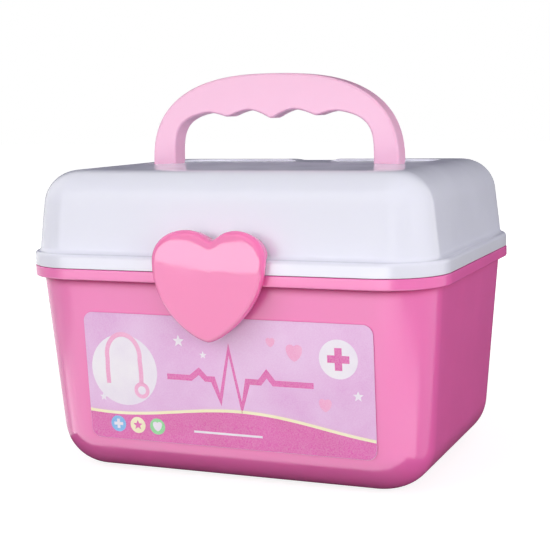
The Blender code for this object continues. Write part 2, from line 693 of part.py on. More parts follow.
def make_handle(material):
    half = HANDLE_LENGTH / 2
    height = HANDLE_HEIGHT
    opening = half - LEG_WIDTH
    opening_height = height - GRIP_HEIGHT
    front = -HANDLE_FRONT
    outline = arch(half, height, HANDLE_BASE, HANDLE_SHOULDER_POWER)
    outline += scalloped_arch(opening, opening_height, HANDLE_BASE)
    mesh = front_prism("handle", outline, front, HANDLE_BACK, HANDLE_EDGE)
    part = add_object("handle", mesh, material)

    # The back is cored out to an even wall, down to the open ends of the legs
    below = HANDLE_BASE - OVERRUN
    core = arch(half - GRIP_WALL, height + OVERRUN - GRIP_WALL, below, HANDLE_SHOULDER_POWER)
    inner = arch(opening + GRIP_WALL, opening_height + OVERRUN + GRIP_WALL, below, OPENING_SHOULDER_POWER)
    core += reversed(inner)
    hollow = front_prism("handle_core", core, front + GRIP_WALL, HANDLE_BACK + OVERRUN)
    combine(part, add_tool("handle_core", hollow), "DIFFERENCE")

    # Stiffening ribs across the hollow grip
    ribs = []
    for index in range(GRIP_RIBS):
        x = (index - (GRIP_RIBS - 1) / 2) * GRIP_RIB_PITCH
        top = arch_height(x, half, height, HANDLE_BASE, HANDLE_SHOULDER_POWER) - GRIP_WALL / 2
        low = arch_height(x, opening, opening_height, HANDLE_BASE, OPENING_SHOULDER_POWER)
        low += GRIP_WALL / 2
        left = x - GRIP_RIB / 2
        right = x + GRIP_RIB / 2
        outline = [(left, low), (right, low), (right, top), (left, top)]
        rib = front_prism("grip_rib", outline, front + GRIP_WALL / 2, HANDLE_BACK - GRIP_RIB_SETBACK)
        ribs.append(rib)
    combine(part, add_tool("grip_ribs", merged("grip_ribs", ribs)), "UNION")

    # Two pegs in each leg snap into the lug between them
    pegs = []
    length = PEG_REACH + GRIP_WALL / 2
    for leg in (-LEG_MIDDLE, LEG_MIDDLE):
        for side in (-1, 1):
            cheek = LEG_WIDTH / 2 - GRIP_WALL / 2 - length / 2
            middle = Vector((leg + side * cheek, HANDLE_AXIS.y, HANDLE_AXIS.z))
            pegs.append(cross_cylinder("peg", middle, PEG_RADIUS, length))
    combine(part, add_tool("handle_pegs", merged("handle_pegs", pegs)), "UNION")

    # The heels are round about the axis, so the handle can lie back
    heel = arc((HANDLE_AXIS.y, HANDLE_AXIS.z), HEEL_RADIUS, -QUARTER_TURN, 0.0, ROUND_STEPS // 2)
    corner_y = HANDLE_BACK + OVERRUN
    corner_z = HANDLE_BASE - OVERRUN
    heel += [(corner_y, HANDLE_AXIS.z), (corner_y, corner_z), (HANDLE_AXIS.y, corner_z)]
    cutter = side_prism("heel_cut", heel, 0.0, HANDLE_LENGTH + 2 * OVERRUN)
    combine(part, add_tool("heel_cut", cutter), "DIFFERENCE")
    set_origin(part, HANDLE_AXIS)
    return part


# The heart latch
def bezier(start, start_handle, end_handle, end, steps):
    """Points of a cubic Bezier segment, without its end point."""
    points = []
    for step in range(steps):
        t = step / steps
        weights = ((1 - t) ** 3, 3 * t * (1 - t) ** 2, 3 * t ** 2 * (1 - t), t ** 3)
        corners = (start, start_handle, end_handle, end)
        u = sum(weight * corner[0] for weight, corner in zip(weights, corners))
        v = sum(weight * corner[1] for weight, corner in zip(weights, corners))
        points.append((u, v))
    return points


def heart_outline():
    """The whole heart, clockwise from its notch, as shares of its half widths and its height."""
    right = []
    for segment in HEART_CURVE_SHARES:
        right += bezier(*segment, HEART_STEPS)
    tip = HEART_CURVE_SHARES[-1][-1]
    left = [(-u, v) for u, v in reversed(right[1:])]
    return right + [tip] + left


def heart_rings():
    """The cup-shaped heart, from its hollow back round the skirt to the bulged face."""
    middle = LATCH_FOOT + HEART_HEIGHT / 2
    half_width = (HEART_LEFT + HEART_RIGHT) / 2

    def level(size_share, y):
        points = []
        for u, v in heart_outline():
            half = HEART_RIGHT if u > 0 else HEART_LEFT
            z = HEART_HEIGHT * (v - 1 / 2)
            x = half * u + z * math.tan(HEART_LEAN)
            points.append((LATCH_OFFSET + x * size_share, y, middle + z * size_share))
        return points

    skirt_share = 1 - LATCH_SKIRT_WALL / half_width
    face_share = 1 - LATCH_EDGE / half_width
    rim = -LATCH_FRONT + LATCH_BULGE
    rings = [level(skirt_share, LATCH_INSIDE), level(skirt_share, LATCH_REAR), level(1.0, LATCH_REAR)]
    for share in HEART_EDGE_SHARES:
        inset = LATCH_EDGE * (1 - math.sqrt(1 - share ** 2))
        rings.append(level(1 - inset / half_width, rim + LATCH_EDGE * (1 - share)))
    for share in HEART_FACE_SHARES:
        rings.append(level(share * face_share, rim - LATCH_BULGE * (1 - share ** 2)))
    return rings


def latch_bore(name):
    length = LATCH_LUG_SPREAD + 2 * LATCH_LUG_WIDTH + 2 * LATCH_CHEEK_WIDTH
    radius = LATCH_PIN_RADIUS + PIN_CLEARANCE
    return add_tool(name, cross_cylinder(name, LATCH_AXIS, radius, length))


def make_latch(material):
    part = add_object("heart_latch", loft("heart_latch", heart_rings()), material)

    # The skirt's back stays clear of the band, is rounded about the pin to swing past the lid,
    # and steps forward above the pin so that its top wall stays clear of the lid's lugs
    axis = LATCH_AXIS
    band_side = -BAND_DEPTH / 2 - LATCH_BAND_GAP
    swing = axis.z - DOME_BASE - LID_GAP
    start = -math.acos((band_side - axis.y) / swing)
    far = -DOME_DEPTH / 2 + OVERRUN
    low = LATCH_FOOT - OVERRUN
    high = LATCH_FOOT + HEART_HEIGHT + OVERRUN
    room = [(far, low), (band_side, low)]
    room += arc((axis.y, axis.z), swing, start, 0.0, ROUND_STEPS)
    top = axis.y + LATCH_TOP_REACH
    room += [(top, axis.z + swing / 2), (top, high), (far, high)]
    cutter = side_prism("latch_room", room, LATCH_OFFSET, 2 * (HEART_LEFT + HEART_RIGHT))
    combine(part, add_tool("latch_room", cutter), "DIFFERENCE")

    # The two cheeks that the pin passes through, outside the lid's lugs
    root = LATCH_INSIDE - ROOT / 2
    profile = arc((axis.y, axis.z), LATCH_LUG_RADIUS, QUARTER_TURN, -QUARTER_TURN, ROUND_STEPS)
    profile += [(root, axis.z - LATCH_LUG_RADIUS), (root, axis.z + LATCH_LUG_RADIUS)]
    offset = (LATCH_LUG_SPREAD + LATCH_LUG_WIDTH + LATCH_CHEEK_WIDTH) / 2 + KNUCKLE_GAP
    cheeks = [
        side_prism("latch_cheek", profile, LATCH_OFFSET + side, LATCH_CHEEK_WIDTH)
        for side in (-offset, offset)
    ]
    combine(part, add_tool("latch_cheeks", merged("latch_cheeks", cheeks)), "UNION")
    combine(part, latch_bore("cheek_bore"), "DIFFERENCE")

    # The bead that snaps below the nose on the bin's rim
    crest = -RIM_DEPTH / 2 - NOSE_REACH - SNAP_CLEARANCE
    top = PARTING_HEIGHT - RIM_HEIGHT / 2 - NOSE_CREST / 2 - SNAP_RAMP
    profile = [
        (root, top - BEAD_CREST - BEAD_DROP),
        (crest, top - BEAD_CREST),
        (crest, top),
        (root, top + SNAP_RAMP),
    ]
    bead = side_prism("latch_bead", profile, LATCH_OFFSET, BEAD_WIDTH)
    combine(part, add_tool("latch_bead", bead), "UNION")
    set_origin(part, LATCH_AXIS)
    return part


def make_pin(name, material, middle, radius, length, chamfer):
    """A plain pin along X with chamfered ends."""
    part = add_object(name, cross_cylinder(name, middle, radius, length), material)
    bevel = part.modifiers.new("chamfer", "BEVEL")
    bevel.width = chamfer
    bevel.segments = 1
    bevel.limit_method = "ANGLE"
    bevel.angle_limit = CHAMFER_ANGLE
    set_origin(part, middle)
    return part


def make_pins(material):
    hinge_length = LID_KNUCKLE_LENGTH + 2 * KNUCKLE_GAP + 2 * BIN_KNUCKLE_LENGTH
    for name, x in (("hinge_pin_left", -HINGE_SPREAD / 2), ("hinge_pin_right", HINGE_SPREAD / 2)):
        middle = Vector((x, HINGE_AXIS.y, HINGE_AXIS.z))
        make_pin(name, material, middle, HINGE_PIN_RADIUS, hinge_length, HINGE_PIN_CHAMFER)
    latch_length = LATCH_LUG_SPREAD + LATCH_LUG_WIDTH + 2 * KNUCKLE_GAP + 2 * LATCH_CHEEK_WIDTH
    make_pin("latch_pin", material, LATCH_AXIS, LATCH_PIN_RADIUS, latch_length, LATCH_PIN_CHAMFER)


# The label
def make_label(material):
    """A thin printed sheet on the sloping front wall."""
    outline = rounded_rectangle(LABEL_LENGTH / 2, LABEL_HEIGHT / 2, LABEL_CORNER)
    part = add_object("front_label", slab("front_label", outline, LABEL_THICKNESS), material)
    slope = math.atan2((BIN_TOP_DEPTH - BIN_BASE_DEPTH) / 2, BIN_TOP - BIN_FOOT_FILLET)
    height = LABEL_BASE + LABEL_HEIGHT / 2 * math.cos(slope)
    wall = -bin_side(height)[1] / 2
    lift = LABEL_GAP + LABEL_THICKNESS / 2
    part.location = (LABEL_OFFSET, wall - lift / math.cos(slope), height)
    part.rotation_euler = (QUARTER_TURN + slope, 0.0, 0.0)
    return part


def main():
    pink = (0.90, 0.28, 0.52)
    make_bin(plastic("bin_pink", pink, 0.28))
    make_lid(plastic("lid_white", (0.84, 0.84, 0.89), 0.22))
    make_handle(plastic("handle_pale_pink", (0.94, 0.52, 0.72), 0.34))
    make_latch(plastic("latch_pink", (0.94, 0.33, 0.56), 0.22))
    make_pins(plastic("pin_steel", (0.62, 0.62, 0.64), 0.35, 1.0))
    make_label(plastic("label_print", (0.78, 0.50, 0.80), 0.30))


main()
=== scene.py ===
import math

import bmesh
import bpy
import numpy as np
from mathutils import Matrix, Vector


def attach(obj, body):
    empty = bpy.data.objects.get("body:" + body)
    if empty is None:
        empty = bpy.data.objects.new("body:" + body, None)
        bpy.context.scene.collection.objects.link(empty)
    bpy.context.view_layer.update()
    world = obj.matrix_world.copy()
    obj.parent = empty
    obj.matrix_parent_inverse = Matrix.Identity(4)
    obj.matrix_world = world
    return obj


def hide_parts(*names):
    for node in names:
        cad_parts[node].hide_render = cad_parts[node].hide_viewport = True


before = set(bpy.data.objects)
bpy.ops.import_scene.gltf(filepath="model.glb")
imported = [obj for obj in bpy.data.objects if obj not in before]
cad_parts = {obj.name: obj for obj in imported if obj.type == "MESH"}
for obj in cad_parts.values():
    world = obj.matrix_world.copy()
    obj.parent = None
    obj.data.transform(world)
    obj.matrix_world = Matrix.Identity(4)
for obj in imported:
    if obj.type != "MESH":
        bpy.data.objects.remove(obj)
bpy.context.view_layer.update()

# Sizes in millimetres, the same as the frame's
MM = 0.001
PARTING = 116.4
BIN_TOP = 114.6
RIM_BASE = 110.5
LID_BASE = 116.7
BAND_TOP = 124.3
SHOULDER = 168.7
CROWN = 1.7
LID_WALL = 2.0
WELL_FLOOR = 167.6
NOTCH_HALF = 11.0
NOTCH_SLOPE = 0.275
NOTCH_BLEND = 0.35
HANDLE_BASE = 167.9
HANDLE_LEGS = (-68.65, 68.65)
GRIP_OUTER = (76.0, 52.7, 2.55)
GRIP_INNER = (61.3, 32.1, 4.4)
FINGER_PITCH = 27.5
HANDLE_AXIS = (-1.0, 172.9)
HANDLE_LUG = 4.0
PEG_BORE = 2.4
HINGE_AXIS = (101.5, 116.55)
HINGE_BORE = 1.8
KNUCKLE_RADIUS = 3.6
OUTER_KNUCKLES = (-10.9, 10.9)
LATCH_AXIS = (-99.8, 132.2)
LATCH_BORE = 1.3
LATCH_LUG = 2.2
LATCH_LUGS = (-11.5, 11.5)
LATCH_CHEEKS = (-15.2, 15.2)
LATCH_SWING = 60.0
LATCH_X = 2.4
HEART_RIGHT = 29.8
HEART_LEFT = 33.8
HEART_HEIGHT = 58.6
HEART_MIDDLE = 110.5
HEART_LEAN = math.tan(math.radians(3.2))
RIM = (120.0, 97.0, 34.0)
BAND = (119.55, 97.5, 34.0)
PLATE = (92.9, 69.7)
WELL = (84.0, 37.5, 12.0, 22.5)
HINGES = (-62.0, 62.0)
LABEL_X = 3.4
LABEL_HALF = (83.0, 35.75)
LABEL_CORNER = 5.5
LABEL_FOOT = 21.2
LABEL_LIFT = 0.7
FOOT_TOP = 25.0
FOOT_TOP_HALF = 85.0
WALL_RISE = 89.6
WALL_LEAN = 7.3


# Materials
def shader_of(name):
    material = bpy.data.materials.new(name)
    material.use_nodes = True
    tree = material.node_tree
    return material, tree, tree.nodes["Principled BSDF"]


def object_place(tree):
    return tree.nodes.new("ShaderNodeTexCoord").outputs["Object"]


def noise(tree, scale, detail, source):
    node = tree.nodes.new("ShaderNodeTexNoise")
    node.inputs["Scale"].default_value = scale
    node.inputs["Detail"].default_value = detail
    tree.links.new(source, node.inputs["Vector"])
    return node.outputs["Fac"]


def combined(tree, operation, first, second):
    """The operation done on two values, the second a socket or a number."""
    node = tree.nodes.new("ShaderNodeMath")
    node.operation = operation
    tree.links.new(first, node.inputs[0])
    if isinstance(second, float):
        node.inputs[1].default_value = second
    else:
        tree.links.new(second, node.inputs[1])
    return node.outputs["Value"]


def span(tree, source, low, high, start=0.3, end=0.7):
    """The source's range from start to end stretched from low to high, and held there beyond."""
    node = tree.nodes.new("ShaderNodeMapRange")
    for key, value in (("From Min", start), ("From Max", end), ("To Min", low), ("To Max", high)):
        node.inputs[key].default_value = value
    tree.links.new(source, node.inputs["Value"])
    return node.outputs["Result"]


def mixed(tree, factor, first, second):
    node = tree.nodes.new("ShaderNodeMix")
    node.data_type = "RGBA"
    tree.links.new(factor, node.inputs[0])
    for socket, value in ((node.inputs[6], first), (node.inputs[7], second)):
        if isinstance(value, tuple):
            socket.default_value = (*value, 1.0)
        else:
            tree.links.new(value, socket)
    return node.outputs[2]


def bumped(tree, height, strength, distance, below=None):
    node = tree.nodes.new("ShaderNodeBump")
    node.inputs["Strength"].default_value = strength
    node.inputs["Distance"].default_value = distance
    tree.links.new(height, node.inputs["Height"])
    if below is not None:
        tree.links.new(below, node.inputs["Normal"])
    return node.outputs["Normal"]


def moulded(name, colour, deep, roughness, scatter=0.12, radius=(1.0, 0.45, 0.5)):
    """Moulded plastic: slight flow marks in the colour, uneven gloss, orange peel and fine grain."""
    material, tree, shader = shader_of(name)
    place = object_place(tree)
    flow = noise(tree, 9.0, 3.0, place)
    tree.links.new(mixed(tree, span(tree, flow, 0.0, 1.0), colour, deep), shader.inputs["Base Color"])
    haze = noise(tree, 34.0, 4.0, place)
    tree.links.new(span(tree, haze, roughness - 0.03, roughness + 0.05), shader.inputs["Roughness"])
    soft = bumped(tree, noise(tree, 150.0, 2.0, place), 0.03, 0.0004)
    fine = bumped(tree, noise(tree, 2600.0, 2.0, place), 0.01, 0.00005, soft)
    tree.links.new(fine, shader.inputs["Normal"])
    shader.inputs["IOR"].default_value = 1.6
    shader.inputs["Subsurface Weight"].default_value = scatter
    shader.inputs["Subsurface Radius"].default_value = radius
    shader.inputs["Subsurface Scale"].default_value = 0.0025
    return material


def steel(name):
    """Drawn wire: fine lines along the pin, uneven gloss."""
    material, tree, shader = shader_of(name)
    place = object_place(tree)
    stretch = tree.nodes.new("ShaderNodeMapping")
    stretch.inputs["Scale"].default_value = (40.0, 2600.0, 2600.0)
    tree.links.new(place, stretch.inputs["Vector"])
    lines = noise(tree, 1.0, 3.0, stretch.outputs["Vector"])
    tree.links.new(span(tree, lines, 0.29, 0.44), shader.inputs["Roughness"])
    tree.links.new(
        mixed(tree, span(tree, lines, 0.0, 1.0), (0.66, 0.66, 0.68), (0.52, 0.52, 0.55)),
        shader.inputs["Base Color"],
    )
    tree.links.new(bumped(tree, lines, 0.15, 0.00005), shader.inputs["Normal"])
    shader.inputs["Metallic"].default_value = 1.0
    return material


def printed(name, colour, other, scale=60.0):
    """Ink under a clear film: soft tone changes, a fine print dot and a faintly wavy gloss."""
    material, tree, shader = shader_of(name)
    place = object_place(tree)
    tone = mixed(tree, span(tree, noise(tree, scale, 3.0, place), 0.0, 1.0), colour, other)
    dots = span(tree, noise(tree, 1500.0, 1.0, place), 0.0, 0.12)
    tree.links.new(mixed(tree, dots, tone, (0.9, 0.86, 0.92)), shader.inputs["Base Color"])
    film = noise(tree, 70.0, 2.0, place)
    tree.links.new(span(tree, film, 0.31, 0.41), shader.inputs["Roughness"])
    tree.links.new(bumped(tree, film, 0.04, 0.0003), shader.inputs["Normal"])
    shader.inputs["Coat Weight"].default_value = 0.4
    shader.inputs["Coat Roughness"].default_value = 0.12
    return material


def painted_shade_under(material, top, depth, deep):
    """Painted shade below a ledge whose underside is at top: the wall there gets a deeper colour, deep,
    and less gloss, in place of the shadow the overhang casts.
    """
    tree = material.node_tree
    shader = tree.nodes["Principled BSDF"]
    parts = tree.nodes.new("ShaderNodeSeparateXYZ")
    tree.links.new(object_place(tree), parts.inputs["Vector"])
    below = span(tree, parts.outputs["Z"], 0.0, 1.0, top - depth, top)
    under = span(tree, parts.outputs["Z"], 1.0, 0.0, top, top + 0.0002)
    share = combined(tree, "POWER", combined(tree, "MULTIPLY", below, under), 1.6)
    plain = shader.inputs["Base Color"].links[0].from_socket
    tree.links.new(mixed(tree, share, plain, deep), shader.inputs["Base Color"])
    tree.links.new(span(tree, share, 0.5, 0.02, 0.0, 0.7), shader.inputs["Specular IOR Level"])


PINK = moulded("bin_plastic", (0.85, 0.152, 0.455), (0.83, 0.142, 0.44), 0.2)
# Painted shade under the bin's rim: a deeper colour and less gloss on the wall below it, in place of the
# rim's shadow.
painted_shade_under(PINK, RIM_BASE * MM, 0.0055, (0.66, 0.11, 0.30))
WHITE = moulded(
    "lid_plastic", (0.765, 0.765, 0.87), (0.75, 0.75, 0.855), 0.2, scatter=0.2, radius=(0.9, 0.85, 1.0)
)
PALE = moulded("handle_plastic", (0.84, 0.465, 0.655), (0.82, 0.45, 0.635), 0.34)
HEART = moulded("heart_plastic", (0.94, 0.175, 0.46), (0.92, 0.165, 0.445), 0.04)
STEEL = steel("pin_steel")


# Meshes
def mesh_of(name, points, faces):
    """A mesh from points in millimetres, cleaned, its faces looking out."""
    build = bmesh.new()
    made = [build.verts.new(Vector(point) * MM) for point in points]
    for face in faces:
        build.faces.new([made[index] for index in face])
    bmesh.ops.remove_doubles(build, verts=build.verts, dist=0.000004)
    bmesh.ops.dissolve_degenerate(build, edges=build.edges, dist=0.000003)
    bmesh.ops.recalc_face_normals(build, faces=build.faces)
    mesh = bpy.data.meshes.new(name)
    build.to_mesh(mesh)
    build.free()
    return mesh


def loft(name, rows):
    """A closed mesh through loops of equal point count, capped at both ends."""
    count = len(rows[0])
    points = [point for row in rows for point in row]
    faces = []
    for index in range(len(rows) - 1):
        for step in range(count):
            after = (step + 1) % count
            low = index * count
            faces.append((low + step, low + after, low + count + after, low + count + step))
    faces.append(tuple(reversed(range(count))))
    faces.append(tuple(range(len(points) - count, len(points))))
    return mesh_of(name, points, faces)


def prism(name, outline, low, high, frame_of, edge=0.0):
    """An outline in a plane made thick from low to high, with small rounded edges."""
    count = len(outline)
    points = [frame_of(u, v, low) for u, v in outline] + [frame_of(u, v, high) for u, v in outline]
    faces = [tuple(range(count)), tuple(range(count, 2 * count))]
    faces += [(i, (i + 1) % count, count + (i + 1) % count, count + i) for i in range(count)]
    mesh = mesh_of(name, points, faces)
    if edge:
        build = bmesh.new()
        build.from_mesh(mesh)
        rims = [
            item
            for item in build.edges
            if len(item.link_faces) == 2 and item.calc_face_angle() > math.radians(40)
        ]
        bmesh.ops.bevel(
            build, geom=rims, offset=edge * MM, segments=3, affect="EDGES", clamp_overlap=True, profile=0.5
        )
        build.to_mesh(mesh)
        build.free()
    return mesh


def across(u, v, w):
    """A profile drawn in Y and Z, thick along X."""
    return (w, u, v)


def slab(name, profile, middle, half, edge=0.0):
    """A profile drawn in Y and Z, thick along X by half to each side of the middle."""
    return prism(name, profile, middle - half, middle + half, across, edge)


def frontal(u, v, w):
    """An outline drawn in X and Z, thick along Y."""
    return (u, w, v)


def arc(centre, radius, start, end, steps):
    """Points of an arc, its angles in degrees."""
    angles = [math.radians(start + (end - start) * step / steps) for step in range(steps + 1)]
    return [(centre[0] + radius * math.cos(a), centre[1] + radius * math.sin(a)) for a in angles]


def disc(u, v, radius, steps=40):
    angles = [2 * math.pi * step / steps for step in range(steps)]
    return [(u + radius * math.cos(a), v + radius * math.sin(a)) for a in angles]


def quarter(radius, turns):
    """How far a rounded edge stays short of its two sides, at each angle in degrees."""
    angles = [math.radians(turn) for turn in turns]
    return [(radius * (1 - math.cos(a)), radius * (1 - math.sin(a))) for a in angles]


def rod(axis, radius, middle, half):
    """A round cutter along X for a bore."""
    return slab("bore", disc(*axis, radius), middle, half)


def turned(name, centre, half, profile):
    """A round pin along X from (distance from the end, radius) pairs."""
    x, y, z = centre
    rows = [(x - half + along, radius) for along, radius in profile]
    rows += [(x + half - along, radius) for along, radius in reversed(profile)]
    return loft(name, [[(place, u, v) for u, v in disc(y, z, radius)] for place, radius in rows])


def shown(name, mesh, material, body, slot, *nodes):
    """A finished piece: smooth, sharp where faces meet at a real corner, riding on its body."""
    piece = bpy.data.objects.new(name, mesh)
    bpy.context.scene.collection.objects.link(piece)
    mesh.materials.clear()
    mesh.materials.append(material)
    mesh.shade_smooth()
    mesh.set_sharp_from_angle(angle=math.radians(33))
    even = piece.modifiers.new("even_normals", "WEIGHTED_NORMAL")
    even.keep_sharp = True
    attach(piece, body)
    if nodes:
        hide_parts(*nodes)


def carved(base, steps):
    """The mesh after each solid is joined to it or cut from it."""
    made = []
    piece = bpy.data.objects.new("carved", base)
    bpy.context.scene.collection.objects.link(piece)
    for operation, tool in steps:
        cutter = bpy.data.objects.new("cutter", tool)
        bpy.context.scene.collection.objects.link(cutter)
        modifier = piece.modifiers.new("step", "BOOLEAN")
        modifier.operation = operation
        modifier.solver = "EXACT"
        modifier.object = cutter
        made.append(cutter)
    bpy.context.view_layer.update()
    result = bpy.data.meshes.new_from_object(piece.evaluated_get(bpy.context.evaluated_depsgraph_get()))
    for item in [piece, *made]:
        bpy.data.objects.remove(item, do_unlink=True)
    return result


def joined(meshes):
    """Separate solids in one mesh."""
    build = bmesh.new()
    for mesh in meshes:
        build.from_mesh(mesh)
        bpy.data.meshes.remove(mesh)
    result = bpy.data.meshes.new("joined")
    build.to_mesh(result)
    build.free()
    return result


def rounded_path(stops):
    """Levels (half x, half y, corner, z) with each stop's corner rounded by its radius."""
    points = [np.array(level, float) for level, _, _ in stops]
    levels = []
    for index, (_, radius, steps) in enumerate(stops):
        here = points[index]
        if not radius:
            levels.append(here)
            continue
        back = points[index - 1] - here
        ahead = points[index + 1] - here
        back_run = math.hypot(back[0], back[3])
        ahead_run = math.hypot(ahead[0], ahead[3])
        cosine = (back[0] * ahead[0] + back[3] * ahead[3]) / (back_run * ahead_run)
        half = math.acos(max(-1.0, min(1.0, cosine))) / 2
        reach = min(radius / math.tan(half), back_run, ahead_run)
        first = here + back * (reach / back_run)
        last = here + ahead * (reach / ahead_run)
        pull = math.sin(half)
        for step in range(steps + 1):
            t = step / steps
            weights = ((1 - t) ** 2, 2 * t * (1 - t) * pull, t * t)
            levels.append((weights[0] * first + weights[1] * here + weights[2] * last) / sum(weights))
    return levels


# Shares of a side at which outlines have points, the dense ones for the front and back of the lid
PLAIN_SIDE = tuple(np.linspace(-1, 1, 15)[1:-1])
OUTER_SHARES = (0.29, 0.37, 0.48, 0.6, 0.74, 0.88)
DENSE_SIDE = (*(-share for share in reversed(OUTER_SHARES)), *np.linspace(-0.24, 0.24, 33), *OUTER_SHARES)
ARC_STEPS = 14


def outline_of(half_x, half_y, corner, centre_y=0.0, sides=PLAIN_SIDE):
    """A rounded rectangle in plan, anticlockwise from the right side, with points along its sides."""
    corner = max(corner, 0.05)
    run_x = half_x - corner
    run_y = half_y - corner
    points = []
    quarters = (
        ((half_x, 0, 0, run_y), (run_x, run_y), PLAIN_SIDE),
        ((0, half_y, -run_x, 0), (-run_x, run_y), sides),
        ((-half_x, 0, 0, -run_y), (-run_x, -run_y), PLAIN_SIDE),
        ((0, -half_y, run_x, 0), (run_x, -run_y), sides),
    )
    for index, ((x, y, dx, dy), centre, shares) in enumerate(quarters):
        points += [(x + dx * share, y + dy * share) for share in shares]
        points += arc(centre, corner, 90 * index, 90 * index + 90, ARC_STEPS)
    return [(x, y + centre_y) for x, y in points]


def flat_loop(level, sides=PLAIN_SIDE):
    half_x, half_y, corner, z = level
    return [(x, y, z) for x, y in outline_of(half_x, half_y, corner, 0.0, sides)]


# Bin
def bin_shell():
    """From the underside up the outside, over the rim and down the inside."""
    stops = [
        ((78.6, 54.0, 4.0, 1.2), 0, 0),
        ((78.9, 54.3, 4.0, 0.0), 0.35, 2),
        ((84.55, 59.95, 4.0, 0.0), 0, 0),
        ((107.93, 82.97, 28.2, 0.0), 25.0, 20),
        ((115.6, 92.3, 29.6, BIN_TOP), 0.8, 3),
        ((118.2, 95.2, 32.2, BIN_TOP), 0.4, 2),
        ((118.2, 95.2, 32.2, RIM_BASE), 0.3, 2),
        ((*RIM, RIM_BASE), 0.9, 4),
        ((*RIM, PARTING), 0.4, 3),
        ((115.4, 92.1, 29.4, PARTING), 0.3, 2),
        ((115.4, 92.1, 29.4, 119.8), 0.5, 3),
        ((113.6, 90.3, 27.6, 119.8), 0.5, 3),
        ((113.6, 90.3, 27.6, BIN_TOP), 0, 0),
        ((105.95, 80.97, 26.3, 3.2), 23.0, 18),
        ((84.6, 60.0, 3.0, 3.2), 0, 0),
    ]
    return loft("bin_shell", [flat_loop(level) for level in rounded_path(stops)])


def cut_angle(z):
    """Where round the barrel its rear side reaches the height z."""
    return 180 - math.degrees(math.asin((z - HINGE_AXIS[1]) / KNUCKLE_RADIUS))


def barrel(start, end, web, low, high):
    """A hinge knuckle side on: a round barrel with a web to the wall that carries it."""
    points = arc(HINGE_AXIS, KNUCKLE_RADIUS, start, end, 40)
    ends = [(web, high), (web, low)]
    if points[0][1] > points[-1][1]:
        ends.reverse()
    return points + ends


def bin_parts():
    knuckle = barrel(-90, cut_angle(PARTING), RIM[1] - 1.0, HINGE_AXIS[1] - KNUCKLE_RADIUS, PARTING)
    places = [hinge + side for hinge in HINGES for side in OUTER_KNUCKLES]
    knuckles = [slab("knuckle", knuckle, x, 3.5, 0.35) for x in places]
    nose = [(-96.0, 111.15), (-98.2, 112.95), (-98.2, 113.95), (-96.0, 115.75)]
    return [
        ("UNION", joined(knuckles)),
        ("DIFFERENCE", rod(HINGE_AXIS, HINGE_BORE, 0, 90)),
        ("UNION", slab("nose", nose, LATCH_X, 10, 0.3)),
    ]


shown("case_bin", carved(bin_shell(), bin_parts()), PINK, "case_bin", "bin_pink", "bin")


# Lid
def top_height(x, y):
    return SHOULDER + CROWN * (1 - (x / PLATE[0]) ** 2) * (1 - (y / PLATE[1]) ** 2)


def notched(points, drop):
    """Lower the back of the lid's top where the finger notch runs out of the well."""
    made = []
    floor = WELL_FLOOR - drop
    for x, y, z in points:
        if y > 50 and z > 150:
            limit = floor + max(0.0, abs(x) - NOTCH_HALF - drop) * NOTCH_SLOPE
            near = max(0.0, NOTCH_BLEND - abs(z - limit)) / NOTCH_BLEND
            z = min(z, limit) - NOTCH_BLEND / 4 * near * near
            if abs(z - limit) < 0.4 and limit <= floor:
                z = max(z, floor)
        made.append((x, y, z))
    return made


def well_loop(grow):
    return outline_of(WELL[0] + grow, WELL[1] + grow, WELL[2] + grow, WELL[3], DENSE_SIDE)


def roof(drop, corner):
    """Loops from the rim of the lid's top in to the floor of the handle well."""
    rim = outline_of(*PLATE, corner, 0.0, DENSE_SIDE)
    edge = well_loop(drop + 0.5)
    loops = []
    for share in (0.0, 0.08, 0.2, 0.35, 0.5, 0.65, 0.8, 0.92, 1.0):
        row = [(a + (c - a) * share, b + (d - b) * share) for (a, b), (c, d) in zip(rim, edge)]
        loops.append([(x, y, top_height(x, y) - drop) for x, y in row])
    for fall, inset in quarter(0.5, (30, 60, 90)):
        loops.append([(x, y, top_height(x, y) - drop - fall) for x, y in well_loop(drop + inset)])
    for inset, rise in quarter(0.3, (0, 30, 60, 90)):
        loops.append([(x, y, WELL_FLOOR - drop + rise) for x, y in well_loop(drop - inset)])
    return [notched(row, drop) for row in loops]


def lid_shell():
    """From the roof inside down to the band's foot and up the outside."""
    stops = [
        ((*PLATE, 5.6, SHOULDER - LID_WALL), 0, 0),
        ((108.64, 85.44, 18.4, SHOULDER - LID_WALL), 17.5, 18),
        ((113.1, 89.9, 22.0, BAND_TOP - LID_WALL), 0.6, 3),
        ((117.55, 95.5, 32.0, BAND_TOP - LID_WALL), 0.4, 2),
        ((117.55, 95.5, 32.0, LID_BASE), 0.2, 2),
        ((*BAND, LID_BASE), 0.3, 3),
        ((*BAND, BAND_TOP), 2.0, 6),
        ((115.4, 92.2, 24.3, BAND_TOP), 2.6, 8),
        ((110.04, 86.84, 19.7, SHOULDER), 19.5, 24),
        ((*PLATE, 5.0, SHOULDER), 0, 0),
    ]
    levels = rounded_path(stops)
    half = len(levels) // 2
    rows = []
    for index, level in enumerate(levels[1:-1]):
        drop = LID_WALL if index < half else 0.0
        rows.append(notched(flat_loop(level, DENSE_SIDE), drop))
    return loft("lid_shell", list(reversed(roof(LID_WALL, 5.6))) + rows + roof(0.0, 5.0))


def latch_lug(radius, foot, web):
    """A lug that carries the latch's pin, side on, its web running back to the lid's wall."""
    wall = -89.9
    return arc(LATCH_AXIS, radius, 70, 290, 32) + [(wall, foot), (wall, web)]


